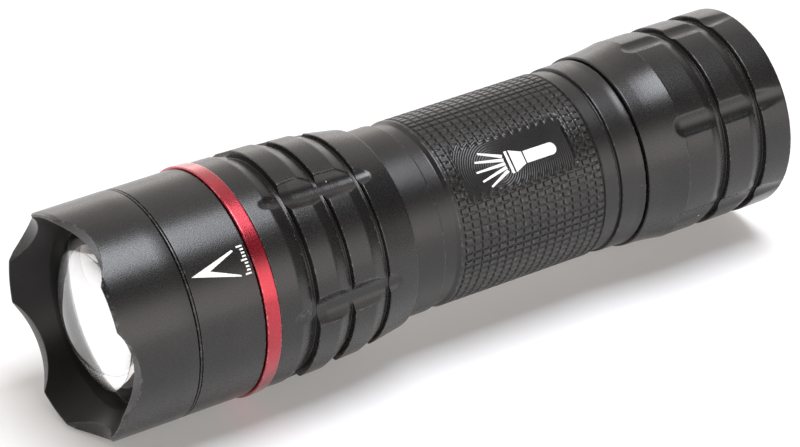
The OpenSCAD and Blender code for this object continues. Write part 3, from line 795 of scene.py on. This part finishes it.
buttonShape = {"floor": 108, "lip": 8.6, "lipTop": 109.4, "radius": 7.5, "top": 114.4, "dish": 0.35,
               "dishRadius": 5.2, "ridges": (3.6, 4.6), "ridgeHeight": 0.07, "ridgeWidth": 0.18,
               "columns": 144}


def makeButton(shape):
    # A flat-topped boot with a rounded rim; its middle sinks by a cosine dish with two fine ridges.
    side = softOutline([
        [shape["floor"], 0, 0], [shape["floor"], shape["lip"], 0.1], [shape["lipTop"], shape["lip"], 0.25],
        [shape["lipTop"], shape["radius"], 0.15], [shape["top"], shape["radius"], 1.3],
        [shape["top"], 0, 0]], 0.1, 7)
    side = side[side[:, 0] < shape["top"] + 1]
    radius = np.linspace(6.0, 0, 48)
    dish = shape["dish"] * (1 + np.cos(math.pi * np.clip(radius / shape["dishRadius"], 0, 1))) / 2
    ridge = sum(shape["ridgeHeight"] * np.exp(-((radius - at) / shape["ridgeWidth"]) ** 2)
                for at in shape["ridges"])
    top = np.column_stack([shape["top"] - dish + ridge, radius])
    outline = np.concatenate([side[:-1], top])
    return polePiece("tailButton", outline, evenAngles(shape["columns"]), 50)


dress(makeButton(buttonShape), "button", "rubber_black", finishes["rubber_black"], "button_boot")
print("button done")


# Printed marks

printRadius, inkThickness = 16.955, 0.02


def inkPatches(name, strokes, place, thickness):
    # Each stroke is a strip between a left and a right line; it becomes a thin closed box on the surface.
    points, faces, base = [], [], 0
    for left, right in strokes:
        left, right = np.asarray(left, float), np.asarray(right, float)
        share = np.linspace(0, 1, 4)[None, :, None]
        sheet = left[:, None] * (1 - share) + right[:, None] * share
        rows, columns = sheet.shape[:2]
        upper, lower = place(sheet, thickness), place(sheet, -thickness)
        points += [upper.reshape(-1, 3), lower.reshape(-1, 3)]
        index = np.arange(rows * columns).reshape(rows, columns)
        quads = [index[:-1, :-1], index[:-1, 1:], index[1:, 1:], index[1:, :-1]]
        quads = np.stack(quads, axis=-1).reshape(-1, 4)
        rim = np.concatenate([index[0], index[1:, -1], index[-1, -2::-1], index[-2:0:-1, 0]])
        after = np.roll(rim, -1)
        deep = rows * columns
        sides = np.stack([after, rim, rim + deep, after + deep], axis=-1)
        faces += [quads + base, quads[:, ::-1] + deep + base, sides + base]
        base += 2 * deep
    return meshObject(name, np.concatenate(points), faces, None, 30)


def strip(start, stop, half, halfStop=None, count=16):
    # A straight stroke of the given half width, between two [station, across] points.
    start, stop = np.array(start, float), np.array(stop, float)
    run = (stop - start) / np.linalg.norm(stop - start)
    side = np.array([-run[1], run[0]])
    t = np.linspace(0, 1, count)[:, None]
    width = half + ((half if halfStop is None else halfStop) - half) * t
    middle = start + (stop - start) * t
    return middle + side * width, middle - side * width


def onSleeve(sheet, lift):
    # [station, angle in degrees] on the smooth sleeve.
    return onCircle(sheet[..., 0], printRadius + lift, np.radians(sheet[..., 1]))


def onFlat(sheet, lift):
    # [station, distance across] on the milled flat.
    return flatPoint(sheet[..., 0], sheet[..., 1], tubeShape["flatHeight"] + lift)


arrowShape = {"tip": (12.95, 39.85), "notch": (15.95, 39.85), "upper": ((20.2, 46.4), (20.35, 45.5)),
              "lower": ((20.35, 33.65), (20.3, 32.95))}


def lineBetween(start, stop, count=18):
    # Points evenly along a straight line.
    t = np.linspace(0, 1, count)[:, None]
    return np.array(start, float) * (1 - t) + np.array(stop, float) * t


tipPoint, notchPoint = arrowShape["tip"], arrowShape["notch"]
upperOuter, upperInner = arrowShape["upper"]
lowerInner, lowerOuter = arrowShape["lower"]
arrowStrokes = [
    (lineBetween(tipPoint, upperOuter), lineBetween(notchPoint, upperInner)),
    (lineBetween(notchPoint, lowerInner), lineBetween(tipPoint, lowerOuter)),
]
scaleShape = {"from": 33.3, "to": 46.9, "count": 9, "outer": 21.95, "short": 0.55, "long": 0.95,
              "half": 0.42}
tickHalf, tickOuter = scaleShape["half"], scaleShape["outer"]
for tick, tickAngle in enumerate(np.linspace(scaleShape["from"], scaleShape["to"], scaleShape["count"])):
    tickInner = tickOuter - (scaleShape["long"] if tick % 4 == 0 else scaleShape["short"])
    tickLeft = lineBetween((tickInner, tickAngle + tickHalf), (tickOuter, tickAngle + tickHalf), 3)
    arrowStrokes.append((tickLeft, tickLeft - np.array([0, 2 * tickHalf])))

inkLook = {"dark": (0.70, 0.70, 0.68), "light": (0.86, 0.86, 0.85), "rough": 0.55, "bump": 0.3,
           "cloudScale": 900, "sockets": {"IOR": 1.45}}
ink = simpleFinish("printedInk", inkLook)
focusMark = inkPatches("focusMark", arrowStrokes, onSleeve, inkThickness)
dress(focusMark, "head", "anodised_black", ink)

beamShape = {"middle": -0.45, "back": 76.9, "neck": 71.2, "front": 69.2, "bodyHalf": 0.95,
             "headHalf": 1.75, "gap": 0.9, "ray": 0.26, "raySpread": 1.15, "rayFan": 0.42,
             "rayTaper": 0.55,
             "rays": ((-1.0, 3.6), (-0.5, 4.6), (0, 5.0), (0.5, 4.6), (1.0, 3.6))}  # lean, length


def roundedEnd(start, stop, half, count=14):
    # A stroke whose far end closes as a half circle: the half width falls as a circle does.
    left, right = strip(start, stop, half, None, 6)
    t = np.linspace(0, math.pi / 2, count)[1:]
    run = np.array(stop, float) - np.array(start, float)
    run /= np.linalg.norm(run)
    side = np.array([-run[1], run[0]])
    tip = np.array(stop, float) + run * half * np.sin(t)[:, None]
    width = np.maximum(half * np.cos(t), 0.004)[:, None]
    return np.concatenate([left, tip + side * width]), np.concatenate([right, tip - side * width])


def beamStrokes(shape):
    # A small torch seen from the side: body, flared head, front rim and five rays.
    middle, body = shape["middle"], shape["bodyHalf"]
    strokes = [
        roundedEnd((shape["neck"] + 0.25, middle), (shape["back"] - body, middle), body),
        strip((shape["neck"], middle), (shape["front"], middle), body, shape["headHalf"]),
        strip((shape["front"] - 0.3, middle), (shape["front"] - 0.75, middle), shape["headHalf"]),
    ]
    start = shape["front"] - shape["gap"] - 0.35
    for lean, length in shape["rays"]:
        near = (start, middle + lean * shape["raySpread"])
        far = (start - length, middle + lean * (shape["raySpread"] + shape["rayFan"] * length))
        strokes.append(strip(near, far, shape["ray"], shape["ray"] * shape["rayTaper"]))
    return strokes


lampMark = inkPatches("lampMark", beamStrokes(beamShape), onFlat, inkThickness)
dress(lampMark, "tube", "anodised_black", ink)
print("printed marks done")


# Finishes of the frame's own nodes

slotOf = {part["node"]: part["material_slot"] for part in frame["record"]["subparts"]}
for node, piece in frame["nodes"].items():
    if not piece.hide_render:
        piece.data.materials.clear()
        piece.data.materials.append(finishes.get(slotOf[node], black.material))
print("frame nodes dressed")


# Camera, floor and lights

def turnTo(thing, side, up, back):
    # Points an object's own x, y and z along three unit vectors.
    thing.rotation_mode = "QUATERNION"
    thing.rotation_quaternion = Matrix(np.column_stack([side, up, back]).tolist()).to_quaternion()


view = {"azimuth": -33.33, "elevation": 31.07, "distance": 0.587, "lens": 180, "aim": (-2.2, 0.2, -1.3)}
turn, rise = math.radians(view["azimuth"]), math.radians(view["elevation"])
backward = np.array([math.sin(turn) * math.cos(rise), -math.cos(turn) * math.cos(rise), math.sin(rise)])
aim = np.array([tipX + totalLength / 2 * mm, 0, axisZ]) + np.array(view["aim"]) * mm
camera = bpy.data.objects.new("camera", bpy.data.cameras.new("camera"))
scene.collection.objects.link(camera)
camera.data.sensor_width = 36
camera.data.lens = view["lens"]
camera.data.clip_start, camera.data.clip_end = 0.02, 30
camera.location = aim + backward * view["distance"]
rightward = np.array([math.cos(turn), math.sin(turn), 0])
turnTo(camera, rightward, np.cross(backward, rightward), backward)
scene.camera = camera

floorLook = {"size": 3.0, "below": 0.0001, "glow": 0.11, "dark": (0.88, 0.875, 0.87),
             "light": (0.90, 0.895, 0.89)}
floorMesh = bpy.data.meshes.new("floor")
half, level = floorLook["size"], -floorLook["below"]
corners = [(-half, -half, level), (half, -half, level), (half, half, level), (-half, half, level)]
floorMesh.from_pydata(corners, [], [(0, 1, 2, 3)])
floor = bpy.data.objects.new("floor", floorMesh)
scene.collection.objects.link(floor)
floor.data.materials.append(simpleFinish("paleFloor", {
    "dark": floorLook["dark"], "light": floorLook["light"], "rough": 0.8, "cloudScale": 3, "bump": 0.02,
    "sockets": {"Specular IOR Level": 0.1, "Emission Color": (1.0, 1.0, 1.0, 1),
                "Emission Strength": floorLook["glow"]}}))

lamps = {  # position and size in metres, power in watts
    "overhead": {"at": (0.155, -0.10, 0.86), "size": (0.44, 0.43), "power": 6.7,
                 "colour": (0.96, 0.98, 1.04)},
}
for name, lamp in lamps.items():
    light = bpy.data.lights.new(name, "AREA")
    light.shape = "RECTANGLE"
    light.size, light.size_y = lamp["size"]
    light.energy = lamp["power"]
    light.color = lamp["colour"]
    holder = bpy.data.objects.new(name, light)
    scene.collection.objects.link(holder)
    holder.location = lamp["at"]
    toward = np.array([0, 0, axisZ]) - np.array(lamp["at"])
    backAxis = -toward / np.linalg.norm(toward)
    sideAxis = np.cross([0, 1, 0] if abs(backAxis[1]) < 0.9 else [1, 0, 0], backAxis)
    sideAxis /= np.linalg.norm(sideAxis)
    turnTo(holder, sideAxis, np.cross(backAxis, sideAxis), backAxis)

world = bpy.data.worlds.new("studio")
scene.world = world
world.use_nodes = True
background = world.node_tree.nodes["Background"]
skyLook = {  # bands: degrees round the x axis from the front horizon, brightness
    "bands": [(0, 2.3), (12, 2.6), (28, 2.4), (38, 0.6), (46, 0.02), (80, 0.02), (106, 0.5), (126, 0.85),
              (140, 1.0), (160, 0.66), (180, 3.0)],
    "warmth": (1.05, 0.99, 0.95), "rightEdge": (0.5, 0.78), "rightLoss": 0.85, "frontEdge": (80, 115),
    "farEdge": (0.78, 0.93), "farLoss": 0.65,
}
sky = NodeTree(world.node_tree)
parts = sky.add("ShaderNodeSeparateXYZ")
sky.link(sky.add("ShaderNodeTexCoord").outputs["Generated"], parts.inputs["Vector"])

# the sky's brightness follows the angle round the x axis, from the front horizon over the top to the back
around = sky.maths("ARCTAN2", parts.outputs["Z"], sky.maths("MULTIPLY", parts.outputs["Y"], -1))
ramp = sky.add("ShaderNodeValToRGB")
ramp.color_ramp.interpolation = "B_SPLINE"
peak = max(level for degrees, level in skyLook["bands"])
while len(ramp.color_ramp.elements) < len(skyLook["bands"]):
    ramp.color_ramp.elements.new(0.5)
for element, (degrees, level) in zip(ramp.color_ramp.elements, skyLook["bands"]):
    element.position = degrees / 180
for element, (degrees, level) in zip(ramp.color_ramp.elements, skyLook["bands"]):
    warmth = skyLook["warmth"]
    element.color = (*(level / peak * share for share in warmth), 1)
sky.link(sky.maths("DIVIDE", around, math.pi), ramp.inputs["Fac"])
frontFrom, frontTo = (math.radians(degrees) for degrees in skyLook["frontEdge"])
rightSide = sky.remap(parts.outputs["X"], *skyLook["rightEdge"], 0, skyLook["rightLoss"], "SMOOTHSTEP")
frontSide = sky.remap(around, frontFrom, frontTo, 1, 0, "SMOOTHSTEP")
kept = sky.maths("SUBTRACT", 1, sky.maths("MULTIPLY", rightSide, frontSide))
farSide = sky.remap(parts.outputs["X"], *skyLook["farEdge"], 1, 1 - skyLook["farLoss"], "SMOOTHSTEP")
kept = sky.maths("MULTIPLY", kept, farSide)
sky.link(ramp.outputs["Color"], background.inputs["Color"])
sky.link(sky.maths("MULTIPLY", kept, peak), background.inputs["Strength"])
scene.view_settings.view_transform = "Standard"
print("camera, floor and lights done")
